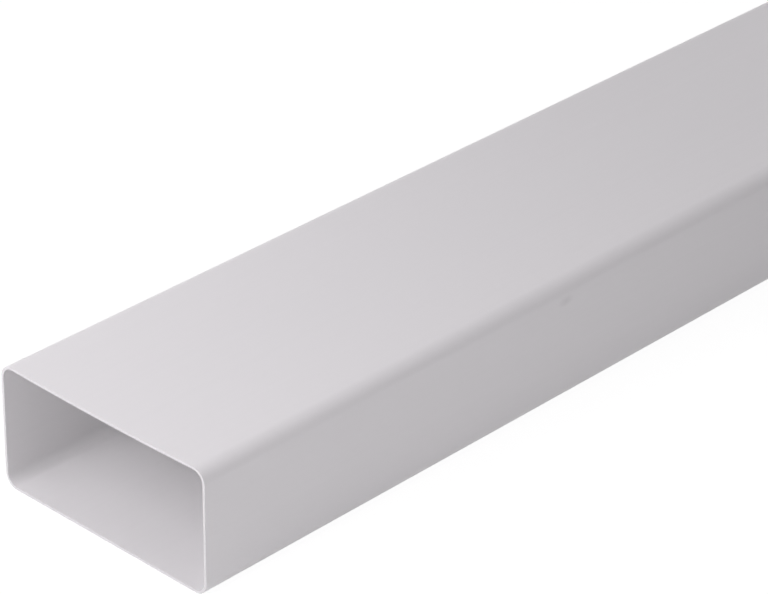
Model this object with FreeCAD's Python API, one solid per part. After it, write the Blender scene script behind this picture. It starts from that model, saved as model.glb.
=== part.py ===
"""Flat channel duct: one length of extruded rigid PVC ducting with an oblong hollow section.

The duct lies on its flat underside. X runs along the duct, Y across its width and Z up,
and the origin is at the middle of the underside. Both ends are sawn square and stay open.
"""

import math
import os

import FreeCAD
import Part

# Driving dimensions, in millimetres
LENGTH = 1000.0  # one sawn piece of stock
WIDTH = 110.0  # outside, from side wall to side wall
HEIGHT = 54.0  # outside, from the underside to the shoulders of the top wall
WALL = 1.2  # the same all round the section
CORNER_RADIUS = 6.0  # outside radius of the four long corners
TOP_DISH = 0.7  # dip of the top wall at mid-width, below its shoulders

# Centres of the corner arcs, which the outside and the inside of the wall share
CORNER_Y = WIDTH / 2 - CORNER_RADIUS
LOWER_CORNER_Z = CORNER_RADIUS
UPPER_CORNER_Z = HEIGHT - CORNER_RADIUS

# The dished top wall is one shallow arc that meets both upper corner arcs without a kink
DISH_RADIUS = (CORNER_Y**2 + TOP_DISH**2) / (2 * TOP_DISH) - CORNER_RADIUS
DISH_CENTRE_Z = HEIGHT - TOP_DISH + DISH_RADIUS
SHOULDER_ANGLE = math.atan2(DISH_CENTRE_Z - UPPER_CORNER_Z, -CORNER_Y)

END_X = LENGTH / 2


def section_point(y, z):
    """A point of the section, in the plane of the -X end."""
    return FreeCAD.Vector(-END_X, y, z)


def corner_arc(side, centre_z, radius, start, end):
    """Arc about a corner's centre, between two angles from the outward Y direction on that side."""
    points = [
        section_point(
            side * (CORNER_Y + radius * math.cos(angle)),
            centre_z + radius * math.sin(angle),
        )
        for angle in (start, (start + end) / 2, end)
    ]
    return Part.Arc(*points).toShape()


def joining_line(edge, other):
    """Straight edge from the last point of one edge to the first point of another."""
    return Part.makeLine(edge.lastVertex(True).Point, other.firstVertex(True).Point)


def wall_outline(inset):
    """Closed wire round the section: the outside at no inset, the inside at one wall of inset."""
    radius = CORNER_RADIUS - inset
    right_low = corner_arc(1, LOWER_CORNER_Z, radius, -math.pi / 2, 0)
    right_high = corner_arc(1, UPPER_CORNER_Z, radius, 0, SHOULDER_ANGLE)
    left_high = corner_arc(-1, UPPER_CORNER_Z, radius, SHOULDER_ANGLE, 0)
    left_low = corner_arc(-1, LOWER_CORNER_Z, radius, 0, -math.pi / 2)
    top = Part.Arc(
        right_high.lastVertex(True).Point,
        section_point(0, DISH_CENTRE_Z - DISH_RADIUS - inset),
        left_high.firstVertex(True).Point,
    ).toShape()
    return Part.Wire(
        [
            right_low,
            joining_line(right_low, right_high),
            right_high,
            top,
            left_high,
            joining_line(left_high, left_low),
            left_low,
            joining_line(left_low, right_low),
        ]
    )


def flat_channel_duct():
    """The hollow section, extruded from the -X end to the +X end."""
    section = Part.Face(wall_outline(0)).cut(Part.Face(wall_outline(WALL)))
    return section.Faces[0].extrude(FreeCAD.Vector(LENGTH, 0, 0))


def main():
    os.makedirs("parts", exist_ok=True)
    duct = flat_channel_duct()
    duct.exportStep(os.path.join("parts", "flat_channel_duct.step"))
    box = duct.BoundBox
    print(
        "flat_channel_duct", duct.ShapeType, "valid" if duct.isValid() else "not valid",
        f"{box.XLength:.2f} x {box.YLength:.2f} x {box.ZLength:.2f} mm, {duct.Volume / 1000:.1f} cm3",
    )


main()
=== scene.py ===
"""Dressed model of one length of flat channel duct in off-white PVC, in a plain studio.

Metres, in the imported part's frame: X along the duct, Y across it, Z up, the floor at Z = 0.
"""

import math
from collections import namedtuple

import bpy
from mathutils import Matrix, Vector, noise


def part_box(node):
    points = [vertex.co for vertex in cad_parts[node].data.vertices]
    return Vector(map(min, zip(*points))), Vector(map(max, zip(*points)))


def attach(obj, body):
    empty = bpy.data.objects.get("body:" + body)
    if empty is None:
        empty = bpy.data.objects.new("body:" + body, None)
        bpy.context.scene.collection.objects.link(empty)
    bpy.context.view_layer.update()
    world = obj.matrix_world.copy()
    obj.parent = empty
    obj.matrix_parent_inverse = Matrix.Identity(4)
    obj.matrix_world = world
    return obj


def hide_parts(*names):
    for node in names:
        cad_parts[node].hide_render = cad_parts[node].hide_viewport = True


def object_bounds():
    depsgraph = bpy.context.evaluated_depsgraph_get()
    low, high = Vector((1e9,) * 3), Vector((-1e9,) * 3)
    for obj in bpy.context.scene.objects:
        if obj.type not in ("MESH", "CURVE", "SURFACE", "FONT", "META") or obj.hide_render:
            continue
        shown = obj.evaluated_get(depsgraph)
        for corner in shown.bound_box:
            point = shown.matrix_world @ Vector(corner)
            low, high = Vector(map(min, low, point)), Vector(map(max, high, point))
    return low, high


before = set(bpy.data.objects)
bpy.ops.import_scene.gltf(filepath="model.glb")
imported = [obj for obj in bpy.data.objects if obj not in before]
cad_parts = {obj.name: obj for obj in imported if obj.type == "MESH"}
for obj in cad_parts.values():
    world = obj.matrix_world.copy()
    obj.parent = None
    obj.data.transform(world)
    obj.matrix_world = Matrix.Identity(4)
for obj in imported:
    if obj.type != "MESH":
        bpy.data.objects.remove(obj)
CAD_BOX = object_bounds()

NODE = "flat_channel_duct"

# Section of the duct
WALL = 0.0012
CORNER_RADIUS = 0.006
TOP_DISH = 0.0007  # dip of the top wall at mid-width

# How finely the section and the length are divided
CORNER_STEPS = 16
DISH_STEPS = 40
SIDE_STEPS = 16
UNDERSIDE_STEPS = 32
LENGTH_STEPS = 80
RIM_STEPS = 3

# Sawn ends
ARRIS = 0.00015  # radius that deburring leaves on the rims' edges
ARRIS_STEPS = 3
SAW_DEPTH = 0.00004  # how far the saw marks reach into the rims
SAW_PITCH = 0.0011

# Slow waves that cooling leaves in the walls
WAVE_DEPTH = 0.00003
WAVE_LENGTH = 0.14  # along the duct
WAVE_WIDTH = 0.045  # round the section

# Noises in the materials: their scales are per metre, along X, Y and Z
NOISE_RANGE = (0.3, 0.7)  # where most of a noise texture's values lie

# Drawn PVC, off-white and satin
PVC_COLOUR = (0.875, 0.869, 0.875, 1.0)
PVC_SHADE = (0.860, 0.853, 0.860, 1.0)
PVC_ROUGHNESS = (0.50, 0.54)
CLOUD_SCALE = (9.0, 22.0, 22.0)  # slow changes of the roughness
DRAW_LINE_SCALE = (3.0, 900.0, 900.0)
DRAW_LINE_SHADE = 0.5  # how far a draw line's colour goes towards the shade
DRAW_LINE_DEPTH = 0.00002
GRAIN_SCALE = (2600.0, 2600.0, 2600.0)
GRAIN_DEPTH = 0.00001

# Faint scuff on the -Y side
SCUFF_COLOUR = (0.775, 0.768, 0.775, 1.0)
SCUFF_FROM_END = 0.195
SCUFF_HEIGHT = 0.0454
SCUFF_SIZE = (0.0047, 0.0047, 0.0026)  # half of its length, depth and height

# Sawn PVC of the rims
SAWN_COLOUR = (0.797, 0.791, 0.797, 1.0)
SAWN_SHADE = (0.732, 0.726, 0.732, 1.0)
SAWN_ROUGHNESS = (0.6, 0.8)
SAWN_MARK_SCALE = (400.0, 1500.0, 1500.0)
SAWN_MARK_DEPTH = 0.00005

# Camera of the photograph: an image 768 pixels wide, with the lens given in pixels
IMAGE_WIDTH = 768
LENS_PIXELS = 3619.9
SENSOR_WIDTH = 36.0  # millimetres; any other width gives the same picture
CAMERA_AZIMUTH = math.radians(-46.472)
CAMERA_ELEVATION = math.radians(29.568)
CAMERA_ROLL = math.radians(-0.569)
CAMERA_FROM_END = (-0.74452, -0.84937, 0.74318)  # from the middle of the near end's lower edge

# Studio floor: the camera sees its own white, plus a little of the light and so of the shadow on it
FLOOR_SIZE = 12.0
FLOOR_DROP = 0.00005  # how far it lies below the duct
FLOOR_BOUNCE = (0.88, 0.88, 0.88, 1.0)  # colour that it throws back on the duct
FLOOR_SHADOW = (0.12, 0.12, 0.12, 1.0)  # share of the light on it that the camera sees
FLOOR_PALE = (0.93, 0.93, 0.93, 1.0)  # its own white under the duct
FLOOR_FADE = (2.0, 2.0, 2.0)  # how far from the duct's middle it has turned white
WHITE = (1.0, 1.0, 1.0, 1.0)

# Studio light
AMBIENT = 0.17
LAMP_COLOUR = (1.0, 0.97, 1.0)
LAMP_AIM_DEPTH = 0.05  # how far behind each end its softboxes aim

QUARTER_TURN = math.pi / 2

# One ring of the mesh: its place along the duct, how deep it lies in the wall, and whether it is sawn
Ring = namedtuple("Ring", "x inset sawn")


def section_profile(low, high):
    """Points of the section's outside with their outward normals, in order round the duct."""
    corner_y = high.y - CORNER_RADIUS
    low_z = low.z + CORNER_RADIUS
    high_z = high.z - CORNER_RADIUS
    dish_radius = (corner_y**2 + TOP_DISH**2) / (2 * TOP_DISH) - CORNER_RADIUS
    dish_z = high.z - TOP_DISH + dish_radius
    shoulder = math.atan2(dish_z - high_z, -corner_y)
    dish_half = shoulder - QUARTER_TURN
    profile = []

    def add_corner(centre_y, centre_z, start, end):
        for step in range(CORNER_STEPS):
            angle = start + (end - start) * step / CORNER_STEPS
            normal = Vector((0, math.cos(angle), math.sin(angle)))
            profile.append((Vector((0, centre_y, centre_z)) + normal * CORNER_RADIUS, normal))

    def add_flat(start, end, normal, steps):
        for step in range(steps):
            profile.append((start.lerp(end, step / steps), normal))

    def add_dish():
        for step in range(DISH_STEPS):
            angle = dish_half * (1 - 2 * step / DISH_STEPS)
            normal = Vector((0, -math.sin(angle), math.cos(angle)))
            profile.append((Vector((0, 0, dish_z)) - normal * dish_radius, normal))

    right, left, down = Vector((0, 1, 0)), Vector((0, -1, 0)), Vector((0, 0, -1))
    add_corner(corner_y, low_z, -QUARTER_TURN, 0)
    add_flat(Vector((0, high.y, low_z)), Vector((0, high.y, high_z)), right, SIDE_STEPS)
    add_corner(corner_y, high_z, 0, shoulder)
    add_dish()
    add_corner(-corner_y, high_z, math.pi - shoulder, math.pi)
    add_flat(Vector((0, low.y, high_z)), Vector((0, low.y, low_z)), left, SIDE_STEPS)
    add_corner(-corner_y, low_z, math.pi, math.pi + QUARTER_TURN)
    add_flat(Vector((0, -corner_y, low.z)), Vector((0, corner_y, low.z)), down, UNDERSIDE_STEPS)
    return profile


def wall_rings(low, high):
    """Rings that trace the wall once round: along the outside, the far rim, the inside and the near rim."""
    rings = []

    def add_arris(x, inset, start):
        for step in range(ARRIS_STEPS + 1):
            angle = start + QUARTER_TURN * step / ARRIS_STEPS
            rings.append(Ring(x + ARRIS * math.sin(angle), inset - ARRIS * math.cos(angle), True))

    def add_length(start, end, inset):
        for step in range(1, LENGTH_STEPS):
            rings.append(Ring(start + (end - start) * step / LENGTH_STEPS, inset, False))

    def add_rim(x, start, end):
        for step in range(1, RIM_STEPS):
            rings.append(Ring(x, start + (end - start) * step / RIM_STEPS, True))

    near, far = low.x + ARRIS, high.x - ARRIS
    outer, inner = ARRIS, WALL - ARRIS
    add_length(near, far, 0)
    add_arris(far, outer, 0)
    add_rim(high.x, outer, inner)
    add_arris(far, inner, QUARTER_TURN)
    add_length(far, near, WALL)
    add_arris(near, inner, 2 * QUARTER_TURN)
    add_rim(low.x, inner, outer)
    add_arris(near, outer, 3 * QUARTER_TURN)
    return rings


def wave(point):
    """Depth of the walls' slow waves at a point of the outside."""
    sample = Vector((point.x / WAVE_LENGTH, point.y / WAVE_WIDTH, point.z / WAVE_WIDTH))
    return WAVE_DEPTH * (0.5 + 0.5 * noise.noise(sample))


def saw_mark(point):
    """Depth of the saw marks at a point of a rim."""
    return SAW_DEPTH * (0.5 + 0.5 * noise.noise(point / SAW_PITCH))


def duct_mesh():
    """Closed mesh of the wall, a grid that wraps round the section and round the wall's thickness."""
    low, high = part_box(NODE)
    profile = section_profile(low, high)
    rings = wall_rings(low, high)
    middle = (low.x + high.x) / 2
    vertices = []
    for ring in rings:
        for base, normal in profile:
            point = base + Vector((ring.x, 0, 0))
            point -= normal * (ring.inset + wave(point))
            if ring.sawn:
                point.x += math.copysign(saw_mark(point), middle - ring.x)
            vertices.append(point)

    around = len(profile)
    faces = []
    material_slots = []
    for row, ring in enumerate(rings):
        following = (row + 1) % len(rings)
        material_slot = int(ring.sawn and rings[following].sawn)
        for left in range(around):
            right = (left + 1) % around
            on_ring = (row * around + left, row * around + right)
            on_following = (following * around + right, following * around + left)
            faces.append(on_ring + on_following)
            material_slots.append(material_slot)

    mesh = bpy.data.meshes.new("duct_wall")
    mesh.from_pydata(vertices, [], faces)
    mesh.polygons.foreach_set("material_index", material_slots)
    mesh.polygons.foreach_set("use_smooth", [True] * len(faces))
    mesh.update()
    return mesh


def node_material(name):
    """New node material with its tree and its principled shader."""
    material = bpy.data.materials.new(name)
    material.use_nodes = True
    tree = material.node_tree
    return material, tree, tree.nodes["Principled BSDF"]


def add_noise(tree, scale, detail, roughness=0.5):
    """Noise in the object's own metres, with a scale of its own along each axis; gives its factor."""
    place = tree.nodes.new("ShaderNodeTexCoord")
    mapping = tree.nodes.new("ShaderNodeMapping")
    mapping.inputs["Scale"].default_value = scale
    texture = tree.nodes.new("ShaderNodeTexNoise")
    texture.inputs["Scale"].default_value = 1.0
    texture.inputs["Detail"].default_value = detail
    texture.inputs["Roughness"].default_value = roughness
    tree.links.new(place.outputs["Object"], mapping.inputs["Vector"])
    tree.links.new(mapping.outputs["Vector"], texture.inputs["Vector"])
    return texture.outputs["Fac"]


def add_spot(tree, place, size):
    """Soft spot in the object's own metres: 1 in its middle and 0 from its edge on."""
    coordinates = tree.nodes.new("ShaderNodeTexCoord")
    mapping = tree.nodes.new("ShaderNodeMapping")
    mapping.inputs["Location"].default_value = [-middle / half for middle, half in zip(place, size)]
    mapping.inputs["Scale"].default_value = [1 / half for half in size]
    gradient = tree.nodes.new("ShaderNodeTexGradient")
    gradient.gradient_type = "SPHERICAL"
    tree.links.new(coordinates.outputs["Object"], mapping.inputs["Vector"])
    tree.links.new(mapping.outputs["Vector"], gradient.inputs["Vector"])
    return gradient.outputs["Fac"]


def map_range(tree, value, low, high):
    """Spreads a noise factor between two values."""
    node = tree.nodes.new("ShaderNodeMapRange")
    node.inputs["From Min"].default_value = NOISE_RANGE[0]
    node.inputs["From Max"].default_value = NOISE_RANGE[1]
    node.inputs["To Min"].default_value = low
    node.inputs["To Max"].default_value = high
    tree.links.new(value, node.inputs["Value"])
    return node.outputs["Result"]


def mix_colours(tree, factor, first, second):
    """Colour between a first one, a constant or another node's result, and a second one, by a factor."""
    node = tree.nodes.new("ShaderNodeMix")
    node.data_type = "RGBA"
    if isinstance(first, bpy.types.NodeSocket):
        tree.links.new(first, node.inputs["A"])
    else:
        node.inputs["A"].default_value = first
    node.inputs["B"].default_value = second
    tree.links.new(factor, node.inputs["Factor"])
    return node.outputs["Result"]


def add_bump(tree, height, distance, strength, under=None):
    """Bump from a height, on top of another bump if there is one."""
    node = tree.nodes.new("ShaderNodeBump")
    node.inputs["Distance"].default_value = distance
    node.inputs["Strength"].default_value = strength
    tree.links.new(height, node.inputs["Height"])
    if under:
        tree.links.new(under, node.inputs["Normal"])
    return node.outputs["Normal"]


def pvc_material():
    """Satin extruded PVC, with faint draw lines along the duct, a fine matte grain and a scuff."""
    material, tree, shader = node_material("satin_white_pvc")
    lines = add_noise(tree, DRAW_LINE_SCALE, detail=3.0)
    clouds = add_noise(tree, CLOUD_SCALE, detail=2.0)
    grain = add_noise(tree, GRAIN_SCALE, detail=2.0)
    low = CAD_BOX[0]
    scuff = add_spot(tree, (low.x + SCUFF_FROM_END, low.y, low.z + SCUFF_HEIGHT), SCUFF_SIZE)
    drawn = mix_colours(tree, map_range(tree, lines, 0.0, DRAW_LINE_SHADE), PVC_COLOUR, PVC_SHADE)
    tree.links.new(mix_colours(tree, scuff, drawn, SCUFF_COLOUR), shader.inputs["Base Color"])
    tree.links.new(map_range(tree, clouds, *PVC_ROUGHNESS), shader.inputs["Roughness"])
    line_bump = add_bump(tree, lines, DRAW_LINE_DEPTH, strength=0.25)
    grain_bump = add_bump(tree, grain, GRAIN_DEPTH, strength=0.2, under=line_bump)
    tree.links.new(grain_bump, shader.inputs["Normal"])
    return material


def sawn_material():
    """Sawn PVC: duller and darker than the drawn surface, with fine saw marks."""
    material, tree, shader = node_material("sawn_white_pvc")
    marks = add_noise(tree, SAWN_MARK_SCALE, detail=4.0, roughness=0.6)
    shade = mix_colours(tree, map_range(tree, marks, 0.0, 1.0), SAWN_COLOUR, SAWN_SHADE)
    tree.links.new(shade, shader.inputs["Base Color"])
    tree.links.new(map_range(tree, marks, *SAWN_ROUGHNESS), shader.inputs["Roughness"])
    tree.links.new(add_bump(tree, marks, SAWN_MARK_DEPTH, strength=0.5), shader.inputs["Normal"])
    return material


def make_duct():
    """The wall's fine mesh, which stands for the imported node."""
    duct = bpy.data.objects.new("duct_wall", duct_mesh())
    bpy.context.scene.collection.objects.link(duct)
    duct.data.materials.append(pvc_material())
    duct.data.materials.append(sawn_material())
    duct.modifiers.new("flat_faces_stay_flat", "WEIGHTED_NORMAL")
    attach(duct, "root")
    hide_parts(NODE)


def shown_rays(tree):
    """1 for the rays that show a surface: camera, glossy and transmission rays."""
    path = tree.nodes.new("ShaderNodeLightPath")
    total = path.outputs["Is Camera Ray"]
    for name in ("Is Glossy Ray", "Is Transmission Ray"):
        node = tree.nodes.new("ShaderNodeMath")
        node.operation = "MAXIMUM"
        tree.links.new(total, node.inputs[0])
        tree.links.new(path.outputs[name], node.inputs[1])
        total = node.outputs[0]
    return total


def floor_material():
    """White floor that still shows the duct's soft shadow."""
    material, tree, shader = node_material("studio_floor")
    tree.nodes.remove(shader)
    bounce = tree.nodes.new("ShaderNodeBsdfDiffuse")
    bounce.inputs["Color"].default_value = FLOOR_BOUNCE
    shadow = tree.nodes.new("ShaderNodeBsdfDiffuse")
    shadow.inputs["Color"].default_value = FLOOR_SHADOW
    white = tree.nodes.new("ShaderNodeEmission")
    pale = mix_colours(tree, add_spot(tree, (0, 0, 0), FLOOR_FADE), WHITE, FLOOR_PALE)
    tree.links.new(pale, white.inputs["Color"])
    seen = tree.nodes.new("ShaderNodeAddShader")
    tree.links.new(shadow.outputs[0], seen.inputs[0])
    tree.links.new(white.outputs[0], seen.inputs[1])
    mix = tree.nodes.new("ShaderNodeMixShader")
    tree.links.new(shown_rays(tree), mix.inputs[0])
    tree.links.new(bounce.outputs[0], mix.inputs[1])
    tree.links.new(seen.outputs[0], mix.inputs[2])
    tree.links.new(mix.outputs[0], tree.nodes["Material Output"].inputs["Surface"])
    return material


def make_floor():
    """Large plain floor just under the duct."""
    half = FLOOR_SIZE / 2
    corners = [(-half, -half, 0), (half, -half, 0), (half, half, 0), (-half, half, 0)]
    mesh = bpy.data.meshes.new("studio_floor")
    mesh.from_pydata(corners, [], [(0, 1, 2, 3)])
    mesh.materials.append(floor_material())
    floor = bpy.data.objects.new("studio_floor", mesh)
    floor.location.z = CAD_BOX[0].z - FLOOR_DROP
    bpy.context.scene.collection.objects.link(floor)


def make_world():
    """Even ambient light, and white where a ray that shows a surface meets nothing."""
    world = bpy.data.worlds.new("studio")
    bpy.context.scene.world = world
    world.use_nodes = True
    tree = world.node_tree
    ambient = tree.nodes["Background"]
    ambient.inputs["Color"].default_value = (*LAMP_COLOUR, 1.0)
    ambient.inputs["Strength"].default_value = AMBIENT
    white = tree.nodes.new("ShaderNodeBackground")
    white.inputs["Color"].default_value = WHITE
    mix = tree.nodes.new("ShaderNodeMixShader")
    tree.links.new(shown_rays(tree), mix.inputs[0])
    tree.links.new(ambient.outputs[0], mix.inputs[1])
    tree.links.new(white.outputs[0], mix.inputs[2])
    tree.links.new(mix.outputs[0], tree.nodes["World Output"].inputs["Surface"])


def add_softboxes(name, azimuth, elevation, distance, size, power):
    """Square area light at each end, facing it, with its place in degrees and metres and its power in watts.

    Azimuth 0 is in front of that end's mouth, and 90 is on the +Y side.
    """
    turn = math.radians(azimuth)
    rise = math.radians(elevation)
    low, high = CAD_BOX
    for end, outward, x in (("near", -1, low.x + LAMP_AIM_DEPTH), ("far", 1, high.x - LAMP_AIM_DEPTH)):
        towards = Vector(
            (outward * math.cos(turn) * math.cos(rise), math.sin(turn) * math.cos(rise), math.sin(rise))
        )
        light = bpy.data.lights.new(f"{name}_{end}", "AREA")
        light.size = size
        light.energy = power
        light.color = LAMP_COLOUR
        softbox = bpy.data.objects.new(light.name, light)
        softbox.location = Vector((x, 0, (low.z + high.z) / 2)) + towards * distance
        softbox.rotation_euler = towards.to_track_quat("Z", "Y").to_euler()
        softbox.visible_camera = False
        softbox.visible_glossy = False  # the satin surface reflects the white studio instead
        bpy.context.scene.collection.objects.link(softbox)


def make_lights():
    """Soft studio light, alike at both ends."""
    add_softboxes("front", azimuth=0, elevation=30, distance=0.9, size=0.5, power=3.7)
    add_softboxes("front_high", azimuth=0, elevation=45, distance=0.8, size=0.5, power=0.6)
    add_softboxes("front_left", azimuth=34, elevation=45, distance=0.9, size=0.6, power=1.6)
    add_softboxes("left_low", azimuth=90, elevation=2, distance=0.6, size=0.3, power=0.4)
    add_softboxes("right_low", azimuth=-90, elevation=2, distance=0.6, size=0.3, power=0.7)
    add_softboxes("top_left", azimuth=90, elevation=70, distance=0.5, size=0.3, power=0.35)


def make_camera():
    """Camera of the photograph."""
    data = bpy.data.cameras.new("photo_camera")
    data.sensor_fit = "HORIZONTAL"
    data.sensor_width = SENSOR_WIDTH
    data.lens = LENS_PIXELS / IMAGE_WIDTH * SENSOR_WIDTH
    camera = bpy.data.objects.new("photo_camera", data)
    near_end = Vector((CAD_BOX[0].x, 0, CAD_BOX[0].z))
    turn = (
        Matrix.Rotation(CAMERA_AZIMUTH, 4, "Z")
        @ Matrix.Rotation(QUARTER_TURN - CAMERA_ELEVATION, 4, "X")
        @ Matrix.Rotation(-CAMERA_ROLL, 4, "Z")
    )
    camera.matrix_world = Matrix.Translation(near_end + Vector(CAMERA_FROM_END)) @ turn
    bpy.context.scene.collection.objects.link(camera)
    bpy.context.scene.camera = camera


bpy.context.scene.view_settings.view_transform = "Standard"
make_duct()
make_floor()
make_world()
make_lights()
make_camera()
